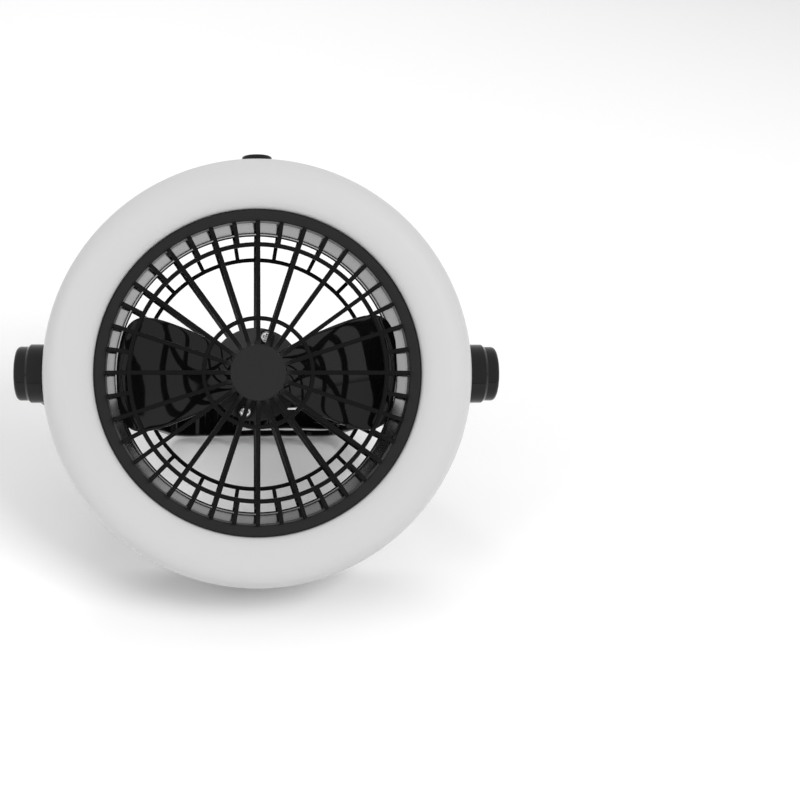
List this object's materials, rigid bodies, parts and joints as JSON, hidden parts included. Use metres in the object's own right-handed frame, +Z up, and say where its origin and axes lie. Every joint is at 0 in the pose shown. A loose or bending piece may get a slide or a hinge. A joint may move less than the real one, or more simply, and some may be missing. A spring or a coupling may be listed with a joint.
{
  "type": "portable camping fan",
  "caption": "Round battery fan with a ring light around its front guard, a folding strap handle that doubles as a stand and a fold-out hanging hook.",
  "frame": {"origin": "centre of the bounding box at the surface that the fan stands on", "axes": "+X along the handle pivots, to the right as seen from in front, -Y the way the fan blows, tilted 36 degrees up, +Z up"},
  "size_m": [0.2532, 0.182, 0.2095],
  "materials": {
    "gloss_black": "high gloss moulded black",
    "satin_black": "satin moulded dark grey",
    "milky_white": "milky satin diffuser",
    "board_white": "white solder mask",
    "board_green": "green solder mask",
    "zinc_steel": "zinc plated",
    "chrome_steel": "bright chrome",
    "cell_sleeve": "printed sleeve left plain"
  },
  "bodies": {
    "head": {"rear_housing": "gloss_black", "front_housing": "gloss_black", "air_duct": "gloss_black", "light_diffuser": "milky_white", "light_board": "board_white", "front_guard": "satin_black", "front_cage": "satin_black", "rear_guard": "satin_black", "rear_cage": "satin_black", "motor": "zinc_steel", "motor_bracket": "satin_black", "motor_screw_1": "chrome_steel", "motor_screw_2": "chrome_steel", "battery_cell_1_1": "cell_sleeve", "battery_cell_1_2": "cell_sleeve", "battery_cell_2_1": "cell_sleeve", "battery_cell_2_2": "cell_sleeve", "battery_cell_3_1": "cell_sleeve", "battery_cell_3_2": "cell_sleeve", "battery_contact_1_1": "zinc_steel", "battery_contact_1_2": "zinc_steel", "battery_contact_2_1": "zinc_steel", "battery_contact_2_2": "zinc_steel", "battery_contact_3_1": "zinc_steel", "battery_contact_3_2": "zinc_steel", "housing_screw_1": "chrome_steel", "housing_screw_2": "chrome_steel", "housing_screw_3": "chrome_steel", "button_spring": "zinc_steel", "push_switch": "satin_black", "switch_board": "board_green", "pivot_boss_right": "gloss_black", "pivot_boss_left": "gloss_black", "pivot_pin_right": "zinc_steel", "pivot_pin_left": "zinc_steel"},
    "rotor": {"motor_shaft": "zinc_steel", "fan_rotor": "gloss_black"},
    "button": {"power_button": "gloss_black"},
    "door_1": {"battery_door_1": "gloss_black"},
    "door_2": {"battery_door_2": "gloss_black"},
    "door_3": {"battery_door_3": "gloss_black"},
    "handle": {"handle": "gloss_black", "pivot_cap_right": "gloss_black", "pivot_cap_left": "gloss_black", "pivot_washer_right": "zinc_steel", "pivot_washer_left": "zinc_steel", "hook_pin": "chrome_steel"},
    "hook": {"hook": "gloss_black"}
  },
  "joints": [
    {"name": "rotor_spin", "type": "hinge", "parent": "head", "child": "rotor", "pos_m": [0, -0.01034, 0.10997], "axis": [0, -0.8088, 0.5881], "continuous": true},
    {"name": "button_press", "type": "slide", "parent": "head", "child": "button", "axis": [0, -0.5881, -0.8088], "range_m": [0, 0.002], "stiffness_N_per_m": 600, "springref_m": -0.001, "deforming": ["button_spring"]},
    {"name": "door_1_hinge", "type": "hinge", "parent": "head", "child": "door_1", "pos_m": [0.0805, 0.03126, 0.10087], "axis": [-0.2079, 0.5752, 0.7911], "range_deg": [0, 80]},
    {"name": "door_2_hinge", "type": "hinge", "parent": "head", "child": "door_2", "pos_m": [-0.05507, 0.05717, 0.1365], "axis": [-0.7431, -0.3935, -0.5412], "range_deg": [0, 80]},
    {"name": "door_3_hinge", "type": "hinge", "parent": "head", "child": "door_3", "pos_m": [-0.02543, -0.02483, 0.02372], "axis": [0.9511, -0.1817, -0.2499], "range_deg": [0, 80]},
    {"name": "handle_fold", "type": "hinge", "parent": "head", "child": "handle", "pos_m": [0, -0.00468, 0.10585], "axis": [1, 0, 0], "range_deg": [-70, 100]},
    {"name": "hook_fold", "type": "hinge", "parent": "handle", "child": "hook", "pos_m": [0, 0.08067, 0.00965], "axis": [0, 0.748, 0.6637], "range_deg": [0, 90]}
  ]
}
